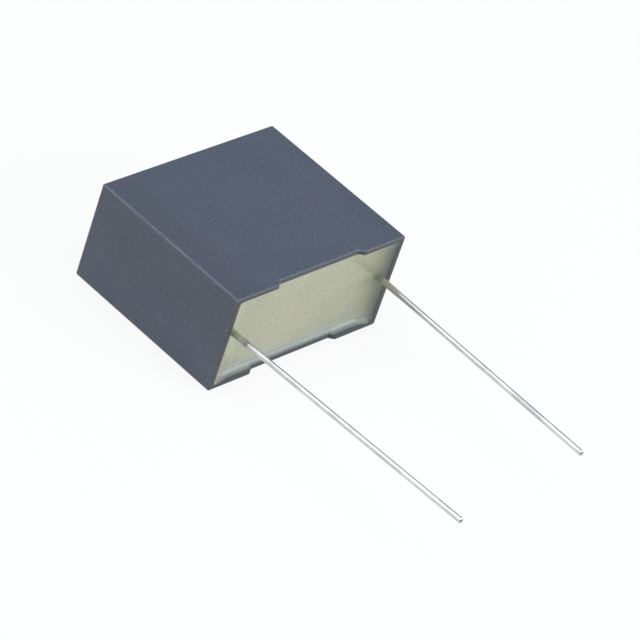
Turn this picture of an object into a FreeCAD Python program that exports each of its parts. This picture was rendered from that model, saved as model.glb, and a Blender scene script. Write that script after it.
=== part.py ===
# Box film capacitor with two radial leads: a moulded case, the resin that fills it,
# a flattened film winding in its cover film with a sprayed metal end on each side,
# and a tinned wire welded to each end.
# Each piece is drawn standing on the board, with the seating plane at height 0 and
# the lead pitch along X. One placement then lays the capacitor on its broad side.
import FreeCAD, Part
import math
import os
import Sketcher

os.makedirs("parts", exist_ok=True)
Vector = FreeCAD.Vector
doc = FreeCAD.newDocument("BoxFilmCapacitor")

# driving sizes: lengths in millimetres, angles in degrees
SIZES = {
    # moulded case
    "case_length": 31.5,
    "case_height": 26.0,
    "case_thickness": 15.0,
    "end_wall": 0.8,
    "broad_wall": 0.65,
    "closed_wall": 1.0,
    "outer_radius": 0.3,
    "rim_radius": 0.15,
    "cavity_corner_radius": 0.3,
    "cavity_floor_radius": 0.25,
    # standoff notches, which leave a foot round each end of the case
    "notch_depth": 0.65,
    "notch_floor_length": 14.7,
    "notch_mouth_length": 16.2,
    "notch_round": 0.25,
    # potting resin: a level surface that climbs the walls and the wires
    "resin_depth": 1.2,
    "broad_meniscus_radius": 1.5,
    "broad_meniscus_run": 1.3,
    "end_meniscus_run": 3.4,
    "end_meniscus_climb": 1.02,
    "rim_to_resin": 0.05,
    "collar_fillet": 0.66,
    "collar_foot_depth": 1.14,
    "collar_root": 0.4,
    "collar_thickness": 0.06,
    "coat_thickness": 0.04,
    "coat_edge": 0.02,
    "coat_taper": 0.5,
    "left_coat_length": 2.3,
    "right_coat_length": 3.5,
    # film winding, its cover film and its sprayed ends
    "element_gap": 0.6,
    "seal_height": 3.0,
    "cover_film": 0.15,
    "spray_thickness": 0.9,
    "spray_edge_bevel": 0.25,
    # leads
    "lead_inset": 1.2,
    "lead_diameter": 0.8,
    "weld_sink": 0.15,
    "weld_height": 19.0,
    "bend_radius": 8.0,
    "tip_chamfer": 0.12,
    "left_lead_length": 39.7,
    "right_lead_length": 37.9,
    "left_lead_offset": 1.2,
    "right_lead_offset": 0.85,
    "left_toe_in": 2.25,
    "right_toe_in": 1.13,
}

# sizes that follow from the driving ones
CAVITY_LENGTH = "(Sizes.case_length - 2 * Sizes.end_wall)"
CAVITY_THICKNESS = "(Sizes.case_thickness - 2 * Sizes.broad_wall)"
CAVITY_HEIGHT = "(Sizes.case_height - Sizes.closed_wall)"
DISH_OVERRUN = "(Sizes.broad_meniscus_radius - Sizes.broad_meniscus_run)"
END_MENISCUS_RADIUS = (
    "((Sizes.end_meniscus_run ^ 2 + Sizes.end_meniscus_climb ^ 2)"
    " / (2 * Sizes.end_meniscus_climb))"
)
DISH_HALF_LENGTH = "(%s / 2 + %s)" % (CAVITY_LENGTH, DISH_OVERRUN)
DISH_EDGE_HEIGHT = "(Sizes.resin_depth - %s + sqrt(%s ^ 2 - (Sizes.end_meniscus_run + %s) ^ 2))" % (
    END_MENISCUS_RADIUS, END_MENISCUS_RADIUS, DISH_OVERRUN
)
LEAD_PITCH = "(%s - 2 * Sizes.lead_inset)" % CAVITY_LENGTH
ELEMENT_LENGTH = "(%s - Sizes.lead_diameter + 2 * Sizes.weld_sink)" % LEAD_PITCH
ELEMENT_HEIGHT = "(%s - Sizes.element_gap - Sizes.seal_height)" % CAVITY_HEIGHT
ELEMENT_THICKNESS = "(%s - 2 * Sizes.element_gap)" % CAVITY_THICKNESS
ELEMENT_CENTRE = "(Sizes.seal_height + %s / 2)" % ELEMENT_HEIGHT
WINDING_LENGTH = "(%s - 2 * Sizes.spray_thickness)" % ELEMENT_LENGTH
WINDING_HEIGHT = "(%s - 2 * Sizes.cover_film)" % ELEMENT_HEIGHT
WINDING_THICKNESS = "(%s - 2 * Sizes.cover_film)" % ELEMENT_THICKNESS

# how far a cut starts outside the face that it opens
CLEAR = 1.0
# slack for telling which edges lie on a face
NEAR = 0.001
# the two ends of the capacitor, and the direction of each along X
SIDES = {"left": -1, "right": 1}


def make_sheet():
    """The driving sizes, each in a cell with its name beside it."""
    cells = doc.addObject("Spreadsheet::Sheet", "Sizes")
    for row, (name, value) in enumerate(SIZES.items(), start=1):
        cells.set("A%d" % row, name)
        cells.set("B%d" % row, str(value))
        cells.setAlias("B%d" % row, name)
    doc.recompute()
    return cells


sheet = make_sheet()


def measure(formula):
    """The number that a formula on the sheet gives."""
    result = sheet.evalExpression(formula)
    return float(getattr(result, "Value", result))


def make_body(name):
    """A body drawn upright, which its placement lays on its broad side at height 0."""
    body = doc.addObject("PartDesign::Body", name)
    body.Label = name
    body.Placement.Rotation = FreeCAD.Rotation(Vector(1, 0, 0), -90)
    body.setExpression("Placement.Base.y", "-Sizes.case_height / 2")
    body.setExpression("Placement.Base.z", "Sizes.case_thickness / 2")
    return body


def make_sketch(body, name, plane, offset):
    """A sketch on one of the body's origin planes, moved or turned by formulas."""
    sketch = body.newObject("Sketcher::SketchObject", name)
    origin_plane = [feature for feature in body.Origin.OriginFeatures if feature.Role == plane][0]
    sketch.AttachmentSupport = [(origin_plane, "")]
    sketch.MapMode = "FlatFace"
    for path, formula in offset.items():
        sketch.setExpression("AttachmentOffset." + path, formula)
    return sketch


def constrain(sketch, name, formula, *constraint):
    """Add a sizing constraint and drive it by a formula on the sheet."""
    index = sketch.addConstraint(Sketcher.Constraint(*constraint))
    sketch.renameConstraint(index, name)
    sketch.setExpression("Constraints." + name, formula)


def place(sketch, edge, x, y):
    """Hold the start of an edge at x, y from the sketch's origin."""
    for name, direction, axis, formula in (("x", "DistanceX", -2, x), ("y", "DistanceY", -1, y)):
        if formula == "0":
            sketch.addConstraint(Sketcher.Constraint("PointOnObject", edge, 1, axis))
        else:
            label = "%s%d" % (name, edge)
            constrain(sketch, label, formula, direction, -1, 1, edge, 1, measure(formula))


def make_left_turn(start, end, radius):
    """The arc from start to end whose centre lies on the left of the way between them."""
    way = end - start
    to_centre = Vector(-way.y, way.x, 0).normalize()
    to_centre.multiply(math.sqrt(radius ** 2 - (way.Length / 2) ** 2))
    centre = (start + end) / 2 + to_centre
    first = math.atan2(start.y - centre.y, start.x - centre.x)
    last = math.atan2(end.y - centre.y, end.x - centre.x)
    if last < first:
        last += 2 * math.pi
    return Part.ArcOfCircle(Part.Circle(centre, Vector(0, 0, 1), radius), first, last)


def draw_outline(sketch, points, radii=None):
    """Edges through points given as pairs of formulas; radii turn the edges they name into arcs."""
    radii = radii or {}
    corners = [Vector(measure(x), measure(y), 0) for x, y in points]
    count = len(corners)
    for i in range(count):
        start, end = corners[i], corners[(i + 1) % count]
        if i in radii:
            edge = make_left_turn(start, end, measure(radii[i]))
        else:
            edge = Part.LineSegment(start, end)
        sketch.addGeometry(edge, False)
    for i in range(count):
        sketch.addConstraint(Sketcher.Constraint("Coincident", i, 2, (i + 1) % count, 1))
    for i, (x, y) in enumerate(points):
        place(sketch, i, x, y)
    for i, radius in radii.items():
        constrain(sketch, "radius%d" % i, radius, "Radius", i, measure(radius))


def draw_rectangle(sketch, width, height):
    """A rectangle centred on the sketch's origin, its two sizes given as formulas."""
    left, right = "-(%s) / 2" % width, "(%s) / 2" % width
    bottom, top = "-(%s) / 2" % height, "(%s) / 2" % height
    draw_outline(sketch, [(left, bottom), (right, bottom), (right, top), (left, top)])


def draw_stadium(sketch, prefix, thickness, height):
    """Two upright sides joined by half circles, centred on the sketch's origin."""
    first = sketch.GeometryCount
    straight = height + " - " + thickness
    half, side = measure(thickness) / 2, measure(straight) / 2
    up = Vector(0, 0, 1)
    upper = Part.Circle(Vector(0, side, 0), up, half)
    lower = Part.Circle(Vector(0, -side, 0), up, half)
    sketch.addGeometry(Part.LineSegment(Vector(half, -side, 0), Vector(half, side, 0)), False)
    sketch.addGeometry(Part.ArcOfCircle(upper, 0, math.pi), False)
    sketch.addGeometry(Part.LineSegment(Vector(-half, side, 0), Vector(-half, -side, 0)), False)
    sketch.addGeometry(Part.ArcOfCircle(lower, math.pi, 2 * math.pi), False)
    for i in range(4):
        following = first + (i + 1) % 4
        sketch.addConstraint(Sketcher.Constraint("Tangent", first + i, 2, following, 1))
    sketch.addConstraint(Sketcher.Constraint("Vertical", first))
    sketch.addConstraint(Sketcher.Constraint("Equal", first + 1, first + 3))
    sketch.addConstraint(Sketcher.Constraint("Symmetric", first + 1, 3, first + 3, 3, -1, 1))
    constrain(sketch, prefix + "_radius", thickness + " / 2", "Radius", first + 1, half)
    constrain(sketch, prefix + "_side", straight, "DistanceY", first, 1, first, 2, 2 * side)


def draw_circle(sketch, diameter):
    size = measure(diameter)
    sketch.addGeometry(Part.Circle(Vector(0, 0, 0), Vector(0, 0, 1), size / 2), False)
    sketch.addConstraint(Sketcher.Constraint("Coincident", 0, 3, -1, 1))
    constrain(sketch, "diameter", diameter, "Diameter", 0, size)


def pad(body, name, sketch, length, midplane=False):
    feature = body.newObject("PartDesign::Pad", name)
    feature.Profile = sketch
    feature.Midplane = midplane
    feature.setExpression("Length", length)
    doc.recompute()
    return feature


def pick_edges(base, is_wanted):
    """The base, with the names of those of its edges that is_wanted picks."""
    names = ["Edge%d" % (i + 1) for i, edge in enumerate(base.Shape.Edges) if is_wanted(edge)]
    return base, names


def fillet(body, name, base, radius, is_wanted):
    """Round the edges of the base that is_wanted picks."""
    feature = body.newObject("PartDesign::Fillet", name)
    feature.Base = pick_edges(base, is_wanted)
    feature.setExpression("Radius", radius)
    doc.recompute()
    return feature


def bevel(body, name, base, size, is_wanted):
    """Cut the edges of the base that is_wanted picks off at 45 degrees."""
    feature = body.newObject("PartDesign::Chamfer", name)
    feature.Base = pick_edges(base, is_wanted)
    feature.setExpression("Size", size)
    doc.recompute()
    return feature


def revolve(body, name, sketch, axis, angle="360", backwards=False):
    feature = body.newObject("PartDesign::Revolution", name)
    feature.Profile = sketch
    feature.ReferenceAxis = (sketch, [axis])
    feature.Reversed = backwards
    feature.setExpression("Angle", angle)
    doc.recompute()
    return feature


def cut(name, base, tool):
    feature = doc.addObject("Part::Cut", name)
    feature.Base = base
    feature.Tool = tool
    feature.Label = name
    doc.recompute()
    return feature


def fuse(name, pieces):
    feature = doc.addObject("Part::MultiFuse", name)
    feature.Shapes = pieces
    feature.Label = name
    doc.recompute()
    return feature


def is_upright(edge):
    """Does the edge run mainly along the height of the body?"""
    box = edge.BoundBox
    return box.ZLength > max(box.XLength, box.YLength)


def make_case_block():
    """The outside of the case: rounded edges, and notches across its open end."""
    body = make_body("case_block")
    outline = make_sketch(body, "case_outline", "XY_Plane", {})
    draw_rectangle(outline, "Sizes.case_length", "Sizes.case_thickness")
    block = pad(body, "case_pad", outline, "Sizes.case_height")
    closed_end = measure("Sizes.case_height") - NEAR
    rounded = fillet(
        body, "case_edges", block, "Sizes.outer_radius",
        lambda edge: edge.BoundBox.ZMax > closed_end,
    )
    profile = make_sketch(body, "notch_profile", "XZ_Plane", {})
    draw_notch(profile)
    notch = body.newObject("PartDesign::Pocket", "standoff_notch")
    notch.Profile = profile
    notch.Type = "ThroughAll"
    notch.Midplane = True
    doc.recompute()
    if notch.Shape.Volume > rounded.Shape.Volume - NEAR:
        raise ValueError("the standoff notch cuts nothing")

    notch_reach = measure("Sizes.notch_mouth_length / 2") + NEAR
    notch_top = measure("Sizes.notch_depth") + NEAR
    softened = fillet(
        body, "notch_corners", notch, "Sizes.notch_round",
        lambda edge: is_across(edge) and edge.BoundBox.ZMax < notch_top
        and abs(edge.BoundBox.XMax) < notch_reach,
    )
    fillet(
        body, "rim_edges", softened, "Sizes.rim_radius",
        lambda edge: is_outside(edge) and edge.BoundBox.ZMax < notch_top,
    )
    return body


def is_across(edge):
    """Does the edge cross the whole thickness of the case?"""
    return edge.BoundBox.YLength > measure("Sizes.case_thickness") - NEAR


def is_outside(edge):
    """Does the middle of the edge lie on the rounded outside of the case?"""
    middle = edge.valueAt((edge.FirstParameter + edge.LastParameter) / 2)
    end_face = measure("Sizes.case_length / 2 - Sizes.outer_radius")
    broad_face = measure("Sizes.case_thickness / 2 - Sizes.outer_radius")
    return abs(middle.x) > end_face or abs(middle.y) > broad_face


def draw_notch(sketch):
    """A level floor with a sloping flank on each side, open below the seating plane."""
    floor, mouth = "Sizes.notch_floor_length / 2", "Sizes.notch_mouth_length / 2"
    below, depth = "-%g" % CLEAR, "Sizes.notch_depth"
    draw_outline(sketch, [
        ("-" + mouth, below), ("-" + mouth, "0"), ("-" + floor, depth),
        (floor, depth), (mouth, "0"), (mouth, below),
    ])


def make_cavity_core():
    """What the mould's core keeps open: rounded corners and a rounded floor."""
    body = make_body("cavity_core")
    outline = make_sketch(body, "cavity_outline", "XY_Plane", {})
    draw_rectangle(outline, CAVITY_LENGTH, CAVITY_THICKNESS)
    core = pad(body, "cavity_pad", outline, CAVITY_HEIGHT)
    corners = fillet(body, "cavity_corners", core, "Sizes.cavity_corner_radius", is_upright)
    floor = measure(CAVITY_HEIGHT) - NEAR
    fillet(
        body, "cavity_floor", corners, "Sizes.cavity_floor_radius",
        lambda edge: edge.BoundBox.ZMin > floor,
    )
    return body


def make_meniscus_dish():
    """The air above the resin: gently curved to both end walls, and rounded along the broad ones."""
    body = make_body("meniscus_dish")
    profile = make_sketch(body, "dish_profile", "XZ_Plane", {})
    level_end = "(%s / 2 - Sizes.end_meniscus_run)" % CAVITY_LENGTH
    below, surface = "-2 * Sizes.broad_meniscus_radius", "Sizes.resin_depth"
    draw_outline(profile, [
        ("-" + DISH_HALF_LENGTH, below),
        (DISH_HALF_LENGTH, below),
        (DISH_HALF_LENGTH, DISH_EDGE_HEIGHT),
        (level_end, surface),
        ("-" + level_end, surface),
        ("-" + DISH_HALF_LENGTH, DISH_EDGE_HEIGHT),
    ], radii={2: END_MENISCUS_RADIUS, 4: END_MENISCUS_RADIUS})
    thickness = CAVITY_THICKNESS + " + 2 * " + DISH_OVERRUN
    dish = pad(body, "dish_pad", profile, thickness, midplane=True)
    level = measure(surface) - NEAR
    fillet(
        body, "broad_meniscus", dish, "Sizes.broad_meniscus_radius",
        lambda edge: edge.BoundBox.YLength < NEAR and edge.BoundBox.ZMax > level,
    )
    return body


def make_rim_air():
    """The air outside the open end, which stops the resin just short of the notched rim."""
    body = make_body("rim_air")
    profile = make_sketch(body, "rim_air_profile", "XZ_Plane", {})
    floor = "(Sizes.notch_floor_length / 2 + Sizes.rim_to_resin)"
    mouth = "(Sizes.notch_mouth_length / 2 + Sizes.rim_to_resin)"
    below, foot, depth = "-%g" % CLEAR, "Sizes.rim_to_resin", "Sizes.notch_depth + Sizes.rim_to_resin"
    draw_outline(profile, [
        ("-" + DISH_HALF_LENGTH, below), ("-" + DISH_HALF_LENGTH, foot),
        ("-" + mouth, foot), ("-" + floor, depth), (floor, depth), (mouth, foot),
        (DISH_HALF_LENGTH, foot), (DISH_HALF_LENGTH, below),
    ])
    pad(body, "rim_air_pad", profile, "Sizes.case_thickness", midplane=True)
    return body


def lead_axis_offset(side_name):
    """Puts a sketch's vertical axis on the bare wire's own axis, through its root."""
    side = SIDES[side_name]
    return {
        "Base.x": "%d * %s / 2" % (side, LEAD_PITCH),
        "Base.z": "Sizes.%s_lead_offset" % side_name,
        "Rotation.Angle": "%d * Sizes.%s_toe_in" % (-side, side_name),
    }


def make_collar(side_name):
    """The resin that climbs one wire: a fillet, a thin coat and the coat's tapered end."""
    body = make_body("resin_collar_" + side_name)
    sketch = make_sketch(
        body, "collar_profile_" + side_name, "XZ_Plane", lead_axis_offset(side_name)
    )
    wire, rounding = "Sizes.lead_diameter / 2", "Sizes.collar_fillet"
    neck = wire + " + Sizes.collar_thickness"
    spread = neck + " + " + rounding
    foot = "Sizes.collar_foot_depth"
    end = "-Sizes.%s_coat_length" % side_name
    draw_outline(sketch, [
        ("0", end),
        ("0", foot + " + Sizes.collar_root"),
        (spread, foot + " + Sizes.collar_root"),
        (spread, foot),
        (neck, foot + " - " + rounding),
        (wire + " + Sizes.coat_thickness", end + " + Sizes.coat_taper"),
        (wire + " + Sizes.coat_edge", end),
    ], radii={3: rounding})
    revolve(body, "collar_" + side_name, sketch, "V_Axis")
    return body


def make_lead(side_name):
    """One tinned wire: straight along the spray, a slight bend and a cropped free end."""
    side = SIDES[side_name]
    toe_in = "Sizes.%s_toe_in" % side_name
    bend_run = "Sizes.bend_radius * tan(%s / 2)" % toe_in
    body = make_body("lead_" + side_name)
    place_of_bend = {
        "Base.x": "%d * %s / 2" % (side, LEAD_PITCH),
        "Base.y": "-Sizes.%s_lead_offset" % side_name,
        "Base.z": bend_run,
    }
    section = make_sketch(body, "welded_section_" + side_name, "XY_Plane", place_of_bend)
    draw_circle(section, "Sizes.lead_diameter")
    pad(body, "welded_stretch_" + side_name, section, "Sizes.weld_height - " + bend_run)

    bend_section = make_sketch(body, "bend_section_" + side_name, "XY_Plane", place_of_bend)
    draw_circle(bend_section, "Sizes.lead_diameter")
    centre = "%d * Sizes.bend_radius" % -side
    half_axis = Vector(0, measure("Sizes.lead_diameter"), 0)
    middle = Vector(measure(centre), 0, 0)
    bend_section.addGeometry(Part.LineSegment(middle - half_axis, middle + half_axis), True)
    bend_section.addConstraint(Sketcher.Constraint("Symmetric", 1, 1, 1, 2, -1))
    constrain(bend_section, "bend", centre, "DistanceX", -1, 1, 1, 1, middle.x)
    constrain(
        bend_section, "axis", "2 * Sizes.lead_diameter", "DistanceY", 1, 1, 1, 2, 2 * half_axis.y
    )
    revolve(body, "bend_" + side_name, bend_section, "Axis0", toe_in, backwards=side < 0)

    bare = make_sketch(body, "bare_profile_" + side_name, "XZ_Plane", lead_axis_offset(side_name))
    radius, tip = "Sizes.lead_diameter / 2", "-Sizes.%s_lead_length" % side_name
    draw_outline(bare, [
        ("0", tip),
        ("0", "-" + bend_run),
        (radius, "-" + bend_run),
        (radius, tip + " + Sizes.tip_chamfer"),
        (radius + " - Sizes.tip_chamfer", tip),
    ])
    revolve(body, "bare_stretch_" + side_name, bare, "V_Axis")
    return body


def make_winding():
    """The flattened roll of metallised film."""
    body = make_body("film_winding")
    section = make_sketch(body, "winding_section", "YZ_Plane", {"Base.y": ELEMENT_CENTRE})
    draw_stadium(section, "roll", WINDING_THICKNESS, WINDING_HEIGHT)
    pad(body, "winding_pad", section, WINDING_LENGTH, midplane=True)
    return body


def make_cover_film():
    """The plain film wound round the roll to close it."""
    body = make_body("cover_film")
    section = make_sketch(body, "cover_section", "YZ_Plane", {"Base.y": ELEMENT_CENTRE})
    draw_stadium(section, "outer", ELEMENT_THICKNESS, ELEMENT_HEIGHT)
    draw_stadium(section, "inner", WINDING_THICKNESS, WINDING_HEIGHT)
    pad(body, "cover_pad", section, WINDING_LENGTH, midplane=True)
    return body


def make_end_spray(side_name, lead):
    """The sprayed metal on one end of the roll, with the wire pressed into it."""
    side = SIDES[side_name]
    body = make_body("spray_block_" + side_name)
    inner_face = WINDING_LENGTH + " / 2"
    start = inner_face if side > 0 else "-%s / 2" % ELEMENT_LENGTH
    section = make_sketch(
        body, "spray_section_" + side_name, "YZ_Plane",
        {"Base.y": ELEMENT_CENTRE, "Base.z": start},
    )
    draw_stadium(section, "spray", ELEMENT_THICKNESS, ELEMENT_HEIGHT)
    block = pad(body, "spray_pad_" + side_name, section, "Sizes.spray_thickness")
    outer_face = measure(ELEMENT_LENGTH + " / 2") - NEAR
    bevel(
        body, "spray_edge_" + side_name, block, "Sizes.spray_edge_bevel",
        lambda edge: min(abs(edge.BoundBox.XMin), abs(edge.BoundBox.XMax)) > outer_face,
    )
    return cut("end_spray_" + side_name, body, lead)


def make_pieces():
    cavity_core = make_cavity_core()
    case = cut("case", make_case_block(), cavity_core)
    leads = {name: make_lead(name) for name in SIDES}
    winding = make_winding()
    cover_film = make_cover_film()
    sprays = {name: make_end_spray(name, leads[name]) for name in SIDES}
    air = fuse("air_over_resin", [make_meniscus_dish(), make_rim_air()])
    poured = cut("poured_resin", cavity_core, air)
    wetted = fuse("wetted_resin", [poured] + [make_collar(name) for name in SIDES])
    embedded = [winding, cover_film] + list(sprays.values()) + list(leads.values())
    resin = cut("potting_resin", wetted, fuse("embedded_pieces", embedded))
    return [case, resin, winding, cover_film] + list(sprays.values()) + list(leads.values())


def check_document():
    for thing in doc.Objects:
        if "Invalid" in thing.State or "Error" in thing.State:
            raise RuntimeError("%s did not rebuild: %s" % (thing.Label, thing.State))


def export(pieces):
    """Write each piece as its own STEP file, once every shape is known to be sound."""
    for piece in pieces:
        shape = piece.Shape
        if shape.isNull() or not shape.isValid() or len(shape.Solids) != 1:
            raise RuntimeError("%s is not one sound solid" % piece.Label)
    for piece in pieces:
        piece.Shape.exportStep("parts/%s.step" % piece.Label)
        print(piece.Label, round(piece.Shape.Volume, 3), piece.Shape.BoundBox)


pieces = make_pieces()
doc.recompute()
check_document()
export(pieces)
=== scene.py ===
# Box film capacitor on a pale table top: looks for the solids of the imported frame.
# Lengths in the dictionaries are millimetres unless a note says otherwise.
import math
import bpy
from mathutils import Matrix, Vector


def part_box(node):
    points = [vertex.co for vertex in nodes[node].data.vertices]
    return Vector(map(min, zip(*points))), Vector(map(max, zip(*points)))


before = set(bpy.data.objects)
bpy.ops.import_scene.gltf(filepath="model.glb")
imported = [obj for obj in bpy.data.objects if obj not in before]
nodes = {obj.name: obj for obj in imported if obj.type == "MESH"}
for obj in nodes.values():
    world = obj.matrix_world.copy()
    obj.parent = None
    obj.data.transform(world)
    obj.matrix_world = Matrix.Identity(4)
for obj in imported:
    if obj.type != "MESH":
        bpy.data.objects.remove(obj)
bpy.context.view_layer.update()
mm = 0.001
leftToRight = (-1.0, 1.0)  # along x, where a mask goes from the left half to the right half
print("frame loaded:", len(nodes), "solids")


# shader maths: a wrapped socket, so a material reads as arithmetic
class Wire:
    # one socket carrying a number; each operator adds a Math node
    def __init__(self, paint, socket, made=None):
        self.paint = paint
        self.socket = socket
        self.made = made

    def maths(self, operation, *others):
        return self.paint.node("ShaderNodeMath", {"operation": operation}, [self, *others])

    def __add__(self, other):
        return self.maths("ADD", other)

    def __radd__(self, other):
        return self.maths("ADD", other)

    def __sub__(self, other):
        return self.maths("SUBTRACT", other)

    def __rsub__(self, other):
        return self.paint.node("ShaderNodeMath", {"operation": "SUBTRACT"}, [other, self])

    def __mul__(self, other):
        return self.maths("MULTIPLY", other)

    def __rmul__(self, other):
        return self.maths("MULTIPLY", other)

    def __pow__(self, other):
        return self.maths("POWER", other)

    def __abs__(self):
        return self.maths("ABSOLUTE")

    def lower(self, other):
        return self.maths("MINIMUM", other)

    def higher(self, other):
        return self.maths("MAXIMUM", other)

    def rise(self, low, high):
        # 0 below low, 1 above high and a smooth step between them
        values = {"Value": self, "From Min": low, "From Max": high}
        return self.paint.node("ShaderNodeMapRange", {"interpolation_type": "SMOOTHSTEP"}, values)

    def fade(self, low, high):
        # the same step the other way: 1 below low, 0 above high
        return 1.0 - self.rise(low, high)

    def spread(self, low, high):
        # low where the wire is 0, high where it is 1
        return self * (high - low) + low


class Paint:
    # one material, or the world, with a single method that adds any node
    def __init__(self, name, holder=None):
        self.owner = holder or bpy.data.materials.new(name)
        self.owner.use_nodes = True
        self.tree = self.owner.node_tree
        self.tree.nodes.clear()

    def node(self, kind, settings=None, values=None, output=0):
        made = self.tree.nodes.new(kind)
        for key, value in (settings or {}).items():
            setattr(made, key, value)
        pairs = values.items() if isinstance(values, dict) else enumerate(values or [])
        for key, value in pairs:
            socket = made.inputs[key]
            if isinstance(value, Wire):
                self.tree.links.new(value.socket, socket)
            else:
                socket.default_value = value
        return Wire(self, made.outputs[output] if made.outputs else None, made)

    def place(self):
        # the point in the object's own coordinates, and its three numbers, in millimetres
        point = self.node("ShaderNodeTexCoord", output="Object")
        scaled = self.vector("SCALE", {0: point, "Scale": 1 / mm})
        apart = self.node("ShaderNodeSeparateXYZ", values=[scaled])
        return [scaled] + [Wire(self, socket) for socket in apart.made.outputs]

    def vector(self, operation, values):
        return self.node("ShaderNodeVectorMath", {"operation": operation}, values)

    def noise(self, point, scale, detail=2.0, roughness=0.5, stretch=None):
        # fractal noise from 0 to 1; scale is in features per millimetre
        if stretch:
            point = self.vector("MULTIPLY", [point, stretch])
        values = {"Vector": point, "Scale": scale, "Detail": detail, "Roughness": roughness}
        return self.node("ShaderNodeTexNoise", values=values)

    def mix(self, factor, first, second):
        # the first colour at 0 and the second at 1
        values = {0: factor, 6: first, 7: second}
        return self.node("ShaderNodeMix", {"data_type": "RGBA"}, values, output=2)

    def lay(self, under, mask, layer):
        # a layer is a colour and how much of it the mask's 1 lays over the colour under it
        colour, amount = layer
        return self.mix(mask * amount, under, colour)

    def bump(self, height, distance, strength, under=None):
        # a height map as deep as distance; under is a bump that it lies on
        values = {"Height": height, "Distance": distance * mm, "Strength": strength}
        if under is not None:
            values["Normal"] = under
        return self.node("ShaderNodeBump", values=values)

    def finish(self, **sockets):
        values = {key.replace("_", " "): value for key, value in sockets.items()}
        shader = self.node("ShaderNodeBsdfPrincipled", values=values)
        self.node("ShaderNodeOutputMaterial", values={"Surface": shader})
        return self.owner


def srgb(red, green, blue):
    # screen numbers from 0 to 255 as the linear colour a shader takes
    def linear(part):
        part = part / 255
        return part / 12.92 if part <= 0.04045 else ((part + 0.055) / 1.055) ** 2.4
    return (linear(red), linear(green), linear(blue), 1.0)


# moulded case
caseLook = {
    "size": (31.5, 26.0, 15.0),
    "centreZ": 7.5,
    "seatingY": -13.0,
    "edge": 0.3,  # radius of the outer edges
    "wall": (0.8, 0.65),  # end walls, broad walls
    "wallSkin": 0.05,
    "notchFlank": (7.35, 8.1),  # from the notch's floor to the foot, along x
    "notchDepth": 0.65,
    "body": srgb(74, 82, 97),
    # layers: a colour and its amount
    "cloud": (srgb(68, 78, 93), 1.0),
    "plum": (srgb(82, 80, 97), 0.5),
    # painted shade for the top's left strip and the upper left end face
    "shade": (srgb(56, 62, 76), 0.35),
    "lightGrain": (srgb(100, 106, 118), 1.0),
    "darkGrain": (srgb(56, 62, 76), 1.0),
    # rounded edges: partly scuffed wear, partly a painted highlight
    "wearAndHighlight": (srgb(115, 121, 133), 0.4),
    # painted highlight along the edges between the end faces and the broad sides
    "upright": (srgb(115, 121, 133), 0.35),
    # painted highlight along the rim's outer edge
    "rimEdgeHighlight": (srgb(115, 121, 133), 0.3),
    # painted light on the inner walls just inside the rim, paler still at the end walls
    "mouth": (srgb(104, 109, 113), 0.8),
    "mouthEnd": (srgb(134, 138, 138), 0.8),
    # the cut rim: partly resin smear, partly painted shade
    "rim": (srgb(56, 58, 59), 0.85),
    "grainAmount": (0.5, 0.32),  # broad sides, end faces
    "plumShift": (-0.02, 0.1),  # elsewhere, left strip
    "rimAmount": (1.0, 0.5),  # elsewhere, along the rim's outer edge
    # features per millimetre
    "cloudPerMm": 0.12,
    "plumPerMm": 0.075,
    "scuffsPerMm": 0.9,
    "grainPerMm": 3.2,
    "sinkPerMm": 0.06,
    # where each mask starts and ends, in noise values or millimetres
    "bands": {
        "cloud": (0.3, 0.7),
        "plum": (0.45, 0.65),
        "leftStrip": (-13.5, -8.5),
        "topFace": (14.0, 14.8),
        "endFace": (0.05, 0.15),
        "endShade": (2.0, 9.0),
        "lightGrain": (0.5, 0.64),
        "darkGrain": (0.36, 0.5),
        "edge": (-0.05, 0.18),
        "scuffs": (0.35, 0.7),
        "upright": (-0.02, 0.15),
        "rim": (0.02, 0.1),
        "rimEdgeHighlight": (0.1, 0.3),
        "mouthDepth": (2.0, 3.0),
        "mouthEnd": (0.9, 1.2),
    },
    "roughness": {"base": 0.44, "grain": 0.14, "cloud": 0.06, "edge": -0.06, "rim": 0.15},
    "sinkBump": (0.12, 0.25),  # depth, strength
    "grainBump": (0.011, 0.6),
    "scuffHeight": 0.35,  # as a share of the grain's
}


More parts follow.
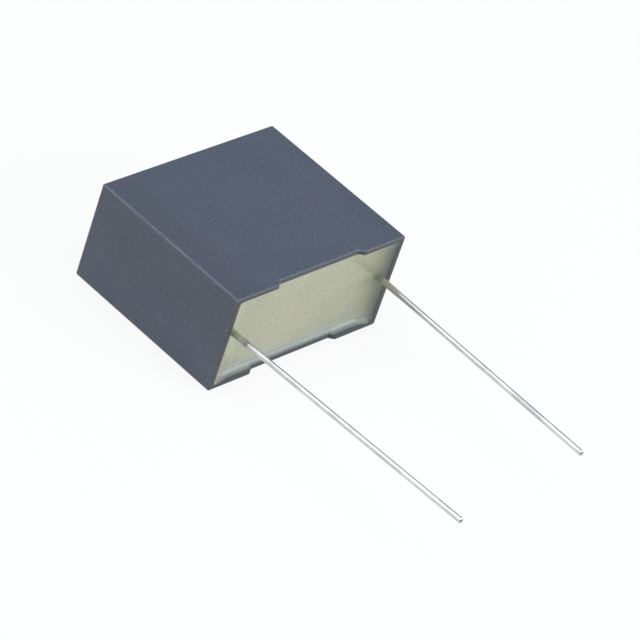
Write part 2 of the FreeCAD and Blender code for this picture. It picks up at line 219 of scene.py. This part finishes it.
def caseFinish(look):
    # the body colour with slow clouds, plum patches and fine grain, each a noise put through a
    # smooth step; painted shade a little darker along the top's left strip and up the left end;
    # lighter by the distance to the nearest two faces, where they meet in a rounded edge, partly
    # scuffed wear and partly a painted highlight, with a painted highlight along the edges between
    # the end faces and the broad sides and along the rim's outer edge; dark on the cut rim round the
    # open end, partly resin smear and partly painted shade, and painted light just inside it
    paint = Paint("casePlastic")
    point, x, y, z = paint.place()
    band = look["bands"]
    toEnd = look["size"][0] / 2 - abs(x)
    toSide = look["size"][2] / 2 - abs(z - look["centreZ"])
    depth = y - look["seatingY"]
    inNotch = abs(x).fade(*look["notchFlank"])
    toRim = depth - inNotch * look["notchDepth"]
    overX = look["edge"] - toEnd
    overY = look["edge"] - toRim.lower(look["size"][1] - depth)
    overZ = look["edge"] - toSide
    overTwo = overX.lower(overY).higher(overY.lower(overZ)).higher(overX.lower(overZ))

    cloud = paint.noise(point, look["cloudPerMm"], detail=4.0, roughness=0.55)
    plum = paint.noise(point, look["plumPerMm"], detail=3.0, roughness=0.6)
    scuffs = paint.noise(point, look["scuffsPerMm"], detail=5.0, roughness=0.7)
    grain = paint.noise(point, look["grainPerMm"], detail=3.0, roughness=0.65)
    sink = paint.noise(point, look["sinkPerMm"], detail=1.0)

    leftStrip = x.fade(*band["leftStrip"]) * z.rise(*band["topFace"])
    endFace = toEnd.fade(*band["endFace"])
    # painted shade mask, up the upper left end face
    endShade = x.fade(*leftToRight) * endFace * z.rise(*band["endShade"])
    plum = (plum + leftStrip.spread(*look["plumShift"])).rise(*band["plum"])
    # edge mask: scuffed wear together with a painted highlight on the rounded edges
    edge = overTwo.rise(*band["edge"]) * scuffs.rise(*band["scuffs"])
    # painted highlight mask where an end face meets a broad side
    upright = overX.lower(overZ).rise(*band["upright"])
    # rim mask: resin smear and painted shade
    rim = toRim.fade(*band["rim"])
    # painted highlight mask along the rim's outer edge
    rimEdgeHighlight = toRim.fade(*band["rimEdgeHighlight"]) * toSide.fade(*band["rimEdgeHighlight"])
    behindEnd = toEnd.rise(look["wall"][0] - look["wallSkin"], look["wall"][0])
    behindSide = toSide.rise(look["wall"][1] - look["wallSkin"], look["wall"][1])
    # mask for the painted light on the inner walls
    inMouth = behindEnd * behindSide * depth.fade(*band["mouthDepth"])
    fleck = endFace.spread(*look["grainAmount"])

    colour = paint.lay(look["body"], cloud.rise(*band["cloud"]), look["cloud"])
    colour = paint.lay(colour, plum, look["plum"])
    # painted shade along the top's left strip and up the upper left end face
    colour = paint.lay(colour, leftStrip.higher(endShade), look["shade"])
    colour = paint.lay(colour, grain.rise(*band["lightGrain"]) * fleck, look["lightGrain"])
    colour = paint.lay(colour, grain.fade(*band["darkGrain"]) * fleck, look["darkGrain"])
    # partly wear, partly painted highlight on the rounded edges
    colour = paint.lay(colour, edge, look["wearAndHighlight"])
    # painted highlight along the edges between the end faces and the broad sides
    colour = paint.lay(colour, upright, look["upright"])
    # painted highlight along the rim's outer edge
    colour = paint.lay(colour, rimEdgeHighlight, look["rimEdgeHighlight"])
    # painted light on the shaded inner walls, more at the end walls
    colour = paint.lay(colour, inMouth, look["mouth"])
    colour = paint.lay(colour, inMouth * toEnd.fade(*band["mouthEnd"]), look["mouthEnd"])
    # dark rim, partly resin smear and partly painted shade
    colour = paint.lay(colour, rim * rimEdgeHighlight.spread(*look["rimAmount"]), look["rim"])

    gloss = look["roughness"]
    roughness = gloss["base"] + (grain - 0.5) * gloss["grain"] + (cloud - 0.5) * gloss["cloud"]
    roughness = roughness + edge * gloss["edge"] + rim * gloss["rim"]
    sunk = paint.bump(sink, *look["sinkBump"])
    grained = paint.bump(grain + scuffs * look["scuffHeight"], *look["grainBump"], under=sunk)
    return paint.finish(Base_Color=colour, Roughness=roughness, Normal=grained)


# potting resin
resinLook = {
    "cavity": (29.9, 13.7),
    "centreZ": 7.5,
    "seatingY": -13.0,
    "notchFlank": (7.35, 8.1),
    "body": srgb(165, 165, 141),
    # layers: a colour and its amount
    "cloud": (srgb(159, 159, 135), 1.0),
    "lightSpeck": (srgb(181, 181, 158), 0.37),
    "darkSpeck": (srgb(139, 140, 119), 0.37),
    "olive": (srgb(130, 133, 108), 1.0),
    # painted reflection: bluish grey over the lower meniscus
    "lowerSheen": (srgb(161, 166, 161), 0.42),
    # dark where the resin thins to a film over the walls, with painted shade towards the right end
    # and on the corner lands
    "film": (srgb(87, 93, 97), 1.0),
    "coat": (srgb(159, 161, 145), 1.0),
    # the coat's thin end: painted shade on the left wire, plain grey on the right
    "thinCoatAndShade": (srgb(118, 121, 112), srgb(160, 162, 158)),  # left wire, right wire
    "thinCoatAmount": 0.8,
    # features per millimetre
    "cloudPerMm": 0.16,
    "speckPerMm": 3.2,
    "wanderPerMm": 0.8,
    "swellPerMm": 0.35,
    "wander": 0.25,  # how far the masks' borders stray
    # amounts that change from one place to another
    # thin film and painted shade at the ends
    "endFilmAndShade": (0.15, 0.9),  # left end, right end
    "oliveAtEnd": (0.1, 0.55),
    "oliveAlong": 0.2,
    # painted sheen: much less olive under the upper rim
    "oliveUnderSheen": (1.0, 0.1),  # elsewhere, under the upper rim
    "topFilm": (0.5, 0.8),  # feet, notch
    "baseFilm": (0.5, 0.85),
    "coatReach": (2.2, 3.0),  # down the left wire, down the right wire
    # where each mask starts and ends, in noise values or millimetres
    "bands": {
        "cloud": (0.3, 0.7),
        "lightSpeck": (0.5, 0.72),
        "darkSpeck": (0.28, 0.5),
        "endToEnd": (-6.0, 6.0),
        "endFilmAndShade": (-0.4, 2.0),
        "oliveAtEnd": (0.5, 6.0),
        "oliveAlong": (-6.0, 14.0),
        "upper": (7.0, 8.0),
        "underRim": (0.5, 2.0),
        "topFilm": (-0.1, 0.7),
        "baseFilm": (0.1, 1.1),
        "landDepth": (-0.2, -0.1),
        "land": (0.4, 1.2),
        "lowerSheen": (1.2, 2.4),
        "coat": (-0.6, -0.2),
        "thinCoatAndShade": (0.2, 1.1),
    },
    "roughness": {"base": 0.27, "cloud": 0.1, "speck": 0.08, "land": 0.4},
    "swellBump": (0.05, 0.5),  # depth, strength
    "speckHeight": 0.02,  # as a share of the swell's
}


def resinFinish(look):
    # clouded and speckled epoxy, more olive to the right, with a painted sheen under the upper
    # rim; by the distance to the cavity's walls it turns greyer over the lower meniscus, a painted
    # reflection, and dark where it thins to a film, partly real film and partly painted shade, most
    # towards the right end and on the flat corner lands; below the rim it is the coat on the wires,
    # which thins out at its end, where the left wire has a painted shade
    paint = Paint("pottingEpoxy")
    point, x, y, z = paint.place()
    band = look["bands"]
    toEnd = look["cavity"][0] / 2 - abs(x)
    toSide = look["cavity"][1] / 2 - abs(z - look["centreZ"])
    depth = y - look["seatingY"]

    cloud = paint.noise(point, look["cloudPerMm"], detail=3.0, roughness=0.55)
    speck = paint.noise(point, look["speckPerMm"], detail=2.0, roughness=0.6)
    wander = (paint.noise(point, look["wanderPerMm"], detail=2.0) - 0.5) * look["wander"]
    swell = paint.noise(point, look["swellPerMm"], detail=2.0)
    strayEnd = toEnd + wander
    straySide = toSide + wander

    onRight = x.rise(*leftToRight)
    endToEnd = x.rise(*band["endToEnd"])
    upper = z.rise(*band["upper"])
    inNotch = abs(x).fade(*look["notchFlank"])
    olive = strayEnd.fade(*band["oliveAtEnd"]) * endToEnd.spread(*look["oliveAtEnd"])
    olive = olive + x.rise(*band["oliveAlong"]) * look["oliveAlong"]
    # painted sheen: a lighter strip under the upper rim
    olive = olive * (toSide.fade(*band["underRim"]) * upper).spread(*look["oliveUnderSheen"])
    # painted reflection over the lower meniscus
    lowerSheen = straySide.fade(*band["lowerSheen"]) * (1.0 - upper)
    # thin film and painted shade, strongest at the right end
    endFilmAndShade = strayEnd.fade(*band["endFilmAndShade"]) * endToEnd.spread(*look["endFilmAndShade"])
    topFilm = straySide.fade(*band["topFilm"]) * upper * inNotch.spread(*look["topFilm"])
    baseFilm = straySide.fade(*band["baseFilm"]) * (1.0 - upper) * inNotch.spread(*look["baseFilm"])
    # painted shade on the flat corner lands, which darkens their sheen
    land = toEnd.fade(*band["land"]) * toSide.fade(*band["land"])
    land = land * depth.rise(*band["landDepth"]) * onRight
    film = endFilmAndShade.higher(topFilm).higher(baseFilm).higher(land)
    coat = (depth + wander).fade(*band["coat"])
    # the coat's thin end, where the left wire takes a painted shade
    thinCoatAndShade = (depth + onRight.spread(*look["coatReach"]) + wander * 2.0).fade(*band["thinCoatAndShade"])
    thinColour = paint.mix(onRight, *look["thinCoatAndShade"])

    colour = paint.lay(look["body"], cloud.rise(*band["cloud"]), look["cloud"])
    colour = paint.lay(colour, speck.rise(*band["lightSpeck"]), look["lightSpeck"])
    colour = paint.lay(colour, speck.fade(*band["darkSpeck"]), look["darkSpeck"])
    colour = paint.lay(colour, olive, look["olive"])
    # painted reflection over the lower meniscus
    colour = paint.lay(colour, lowerSheen, look["lowerSheen"])
    # thin film over the walls, with painted shade at the right end and on the corner lands
    colour = paint.lay(colour, film, look["film"])
    colour = paint.lay(colour, coat, look["coat"])
    # painted shade at the left coat's end, plain grey thin coat on the right
    colour = paint.lay(colour, thinCoatAndShade, (thinColour, look["thinCoatAmount"]))

    gloss = look["roughness"]
    roughness = gloss["base"] + (cloud - 0.5) * gloss["cloud"] + (speck - 0.5) * gloss["speck"]
    roughness = roughness + land * gloss["land"]
    swollen = paint.bump(swell + speck * look["speckHeight"], *look["swellBump"])
    return paint.finish(Base_Color=colour, Roughness=roughness, Normal=swollen)


# tinned wire
leadLook = {
    "metal": srgb(217, 218, 217),
    "dull": (srgb(184, 186, 185), 1.0),
    "cut": (srgb(116, 119, 118), 0.8),
    "linesPerMm": 9.0,
    "lineStretch": (1.0, 0.03, 1.0),
    "patchesPerMm": 0.5,
    "patchStretch": (1.0, 0.35, 1.0),
    "patchBand": (0.35, 0.7),
    "cutBand": (0.02, 0.08),
    "roughness": {"base": 0.27, "lines": 0.16, "patches": 0.14, "cut": 0.2},
    "lineBump": (0.01, 0.5),
}


def leadFinish(look, name, tip):
    # bright tin with fine lines drawn along its length, which are noise stretched along y, dull
    # patches, and a darker, rougher cut end within a hair of the tip
    paint = Paint(name)
    point, x, y, z = paint.place()
    lines = paint.noise(point, look["linesPerMm"], 3.0, 0.6, look["lineStretch"])
    patches = paint.noise(point, look["patchesPerMm"], 3.0, 0.6, look["patchStretch"])
    cut = (y - tip).fade(*look["cutBand"])
    colour = paint.lay(look["metal"], patches.rise(*look["patchBand"]), look["dull"])
    colour = paint.lay(colour, cut, look["cut"])
    gloss = look["roughness"]
    roughness = gloss["base"] + (lines - 0.5) * gloss["lines"] + (patches - 0.5) * gloss["patches"]
    roughness = roughness + cut * gloss["cut"]
    drawn = paint.bump(lines, *look["lineBump"])
    return paint.finish(Base_Color=colour, Metallic=1.0, Roughness=roughness, Normal=drawn)


# film winding, inside the resin
windingLook = {
    "centre": (0.7, 7.5),  # y and z of the roll's axis
    "straight": 4.45,  # half the flat part between its two round sides
    "turnsPerMm": 6.4,
    "bright": srgb(214, 215, 214),
    "shaded": (srgb(180, 181, 182), 1.0),
    "tarnish": (srgb(198, 196, 188), 0.4),
    "patchesPerMm": 0.3,
    "patchBand": (0.4, 0.7),
    "roughness": (0.22, 0.38),
    "turnBump": (0.01, 0.3),
}


def windingFinish(look):
    # silvery film: sine lines on the distance from the roll's straight core show its turns
    paint = Paint("metallisedFilm")
    point, x, y, z = paint.place()
    across = abs(z - look["centre"][1])
    along = (abs(y - look["centre"][0]) - look["straight"]).higher(0.0)
    radius = (across * across + along * along) ** 0.5
    turns = (radius * (look["turnsPerMm"] * 2 * math.pi)).maths("SINE") * 0.5 + 0.5
    patches = paint.noise(point, look["patchesPerMm"], detail=3.0)
    colour = paint.lay(look["bright"], turns, look["shaded"])
    colour = paint.lay(colour, patches.rise(*look["patchBand"]), look["tarnish"])
    roughness = patches.spread(*look["roughness"])
    lined = paint.bump(turns, *look["turnBump"])
    return paint.finish(Base_Color=colour, Metallic=0.85, Roughness=roughness, Normal=lined)


# plain film round the winding
coverLook = {
    "clear": srgb(222, 222, 214),
    "milky": (srgb(204, 205, 196), 1.0),
    "streaksPerMm": 1.2,
    "streakStretch": (0.15, 1.0, 1.0),
    "streakBand": (0.3, 0.75),
    "roughness": (0.16, 0.36),
    "streakBump": (0.02, 0.3),
}


def coverFinish(look):
    # slightly milky film with streaks, noise stretched along x, from the heat that sealed it
    paint = Paint("plainFilm")
    point, x, y, z = paint.place()
    streaks = paint.noise(point, look["streaksPerMm"], 4.0, 0.6, look["streakStretch"])
    colour = paint.lay(look["clear"], streaks.rise(*look["streakBand"]), look["milky"])
    roughness = streaks.spread(*look["roughness"])
    streaked = paint.bump(streaks, *look["streakBump"])
    return paint.finish(Base_Color=colour, Roughness=roughness, Normal=streaked)


# sprayed ends of the winding
sprayLook = {
    "crest": srgb(176, 178, 180),
    "hollow": (srgb(122, 125, 129), 1.0),
    "oxide": (srgb(150, 151, 150), 0.5),
    "grainsPerMm": 4.0,
    "grainBand": (0.1, 0.7),
    "dustPerMm": 7.0,
    "dustBand": (0.4, 0.7),
    "roughness": (0.55, 0.8),
    "grainBump": (0.06, 0.8),
    "dustHeight": 0.6,  # as a share of the grains'
}


def sprayFinish(look):
    # matt zinc: splashed grains from distances between scattered points, and fine porous dust
    paint = Paint("sprayedZinc")
    point, x, y, z = paint.place()
    values = {"Vector": point, "Scale": look["grainsPerMm"]}
    grains = paint.node("ShaderNodeTexVoronoi", {"feature": "F1"}, values)
    dust = paint.noise(point, look["dustPerMm"], detail=4.0, roughness=0.7)
    colour = paint.lay(look["crest"], grains.rise(*look["grainBand"]), look["hollow"])
    colour = paint.lay(colour, dust.rise(*look["dustBand"]), look["oxide"])
    roughness = dust.spread(*look["roughness"])
    splashed = paint.bump(grains + dust * look["dustHeight"], *look["grainBump"])
    return paint.finish(Base_Color=colour, Metallic=0.7, Roughness=roughness, Normal=splashed)


def dress(name, material):
    # the node keeps its mesh; every slot takes the new material
    slots = nodes[name].data.materials
    if len(slots) == 0:
        slots.append(material)
    for index in range(len(slots)):
        slots[index] = material


dress("case", caseFinish(caseLook))
dress("potting_resin", resinFinish(resinLook))
dress("film_winding", windingFinish(windingLook))
dress("cover_film", coverFinish(coverLook))
zinc = sprayFinish(sprayLook)
for side in ("left", "right"):
    dress("end_spray_" + side, zinc)
    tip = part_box("lead_" + side)[0].y / mm
    dress("lead_" + side, leadFinish(leadLook, "tinnedWire" + side.capitalize(), tip))
print("finishes done")


# table top
floorLook = {
    "half": 900.0,
    "below": 0.02,
    "own": 0.86,  # how much of what is seen is its own even white
    "colour": (0.86, 0.86, 0.86, 1.0),
}


def makeFloor(look):
    # a flat square; the camera sees mostly its own even white, the rest is lit and shadowed
    reach = look["half"] * mm
    low = -look["below"] * mm
    corners = [(-reach, -reach, low), (reach, -reach, low), (reach, reach, low), (-reach, reach, low)]
    mesh = bpy.data.meshes.new("tableTop")
    mesh.from_pydata(corners, [], [(0, 1, 2, 3)])
    table = bpy.data.objects.new("tableTop", mesh)
    bpy.context.scene.collection.objects.link(table)
    paint = Paint("tableWhite")
    outputs = paint.node("ShaderNodeLightPath").made.outputs
    seen = Wire(paint, outputs["Is Camera Ray"]).higher(Wire(paint, outputs["Is Glossy Ray"]))
    seen = seen.higher(Wire(paint, outputs["Is Transmission Ray"]))
    lit = paint.node("ShaderNodeBsdfDiffuse", values={"Color": look["colour"]})
    white = paint.node("ShaderNodeEmission", values={"Color": (1, 1, 1, 1), "Strength": 1.0})
    both = paint.node("ShaderNodeMixShader", values={0: seen * look["own"], 1: lit, 2: white})
    paint.node("ShaderNodeOutputMaterial", values={"Surface": both})
    mesh.materials.append(paint.owner)


# soft boxes: place, aim point and size in millimetres, power in watts
coolLight = (0.86, 0.95, 1.0)
blueLight = (0.79, 0.9, 1.0)
plainLight = (1.0, 0.985, 0.96)
lampLook = {
    "overhead": {
        "place": (-40, 60, 430),
        "aim": (0, 0, 0),
        "size": (480, 480),
        "power": 1.1,
        "colour": coolLight,
    },
    "front": {
        "place": (120, -430, 260),
        "aim": (0, -10, 5),
        "size": (380, 300),
        "power": 1.1,
        "colour": plainLight,
    },
    "left": {
        "place": (-430, 40, 150),
        "aim": (0, 0, 5),
        "size": (260, 220),
        "power": 0.2,
        "colour": plainLight,
    },
    "back": {
        "place": (-340, 225, 290),
        "aim": (0, 0, 5),
        "size": (320, 320),
        "power": 0.3,
        "colour": plainLight,
    },
    "right": {
        "place": (330, -340, 95),
        "aim": (0, -13, 5),
        "size": (280, 190),
        "power": 0.85,
        "colour": blueLight,
    },
}


def makeLamp(name, look):
    data = bpy.data.lights.new(name, "AREA")
    data.color = look["colour"]
    data.shape = "RECTANGLE"
    data.size = look["size"][0] * mm
    data.size_y = look["size"][1] * mm
    data.energy = look["power"]
    lamp = bpy.data.objects.new(name, data)
    lamp.location = Vector(look["place"]) * mm
    toward = (Vector(look["aim"]) - Vector(look["place"])).normalized()
    lamp.rotation_euler = toward.to_track_quat("-Z", "Y").to_euler()
    bpy.context.scene.collection.objects.link(lamp)


skyLook = {
    "high": (0.42, 0.43, 0.45, 1.0),
    "low": (0.34, 0.34, 0.35, 1.0),
    "heights": (0.0, 0.9),
    "strength": 1.0,
}


def makeSky(look):
    # light grey above, fading to a darker grey at the horizon
    world = bpy.data.worlds.new("studio")
    bpy.context.scene.world = world
    paint = Paint("studio", world)
    direction = paint.node("ShaderNodeTexCoord", output="Generated")
    apart = paint.node("ShaderNodeSeparateXYZ", values=[direction])
    height = Wire(paint, apart.made.outputs["Z"])
    colour = paint.mix(height.rise(*look["heights"]), look["low"], look["high"])
    glow = paint.node("ShaderNodeBackground", values={"Color": colour, "Strength": look["strength"]})
    paint.node("ShaderNodeOutputWorld", values={"Surface": glow})


# the view: a place in millimetres, the camera's axes, its lens and its shift in frame widths
viewLook = {
    "place": (-345.934, -244.713, 305.903),
    "forward": (0.67695, 0.44909, -0.58315),
    "right": (0.68357, -0.67736, 0.27188),
    "sensor": 36.0,
    "lens": 223.15,
    "shift": (-0.5 / 640, 0.5 / 640),
    "clip": (0.01, 10.0),  # metres
}


def makeCamera(look):
    # its three axes come from the photograph's perspective
    forward = Vector(look["forward"]).normalized()
    right = Vector(look["right"])
    right = (right - forward * right.dot(forward)).normalized()
    up = right.cross(forward)
    turn = Matrix((right, up, -forward)).transposed()
    data = bpy.data.cameras.new("camera")
    data.sensor_width = look["sensor"]
    data.lens = look["lens"]
    data.shift_x, data.shift_y = look["shift"]
    data.clip_start, data.clip_end = look["clip"]
    camera = bpy.data.objects.new("camera", data)
    camera.matrix_world = Matrix.Translation(Vector(look["place"]) * mm) @ turn.to_4x4()
    bpy.context.scene.collection.objects.link(camera)
    bpy.context.scene.camera = camera


makeFloor(floorLook)
for name, look in lampLook.items():
    makeLamp(name, look)
makeSky(skyLook)
makeCamera(viewLook)
bpy.context.scene.view_settings.view_transform = "Standard"
print("table, light and camera done")

bpy.context.view_layer.update()
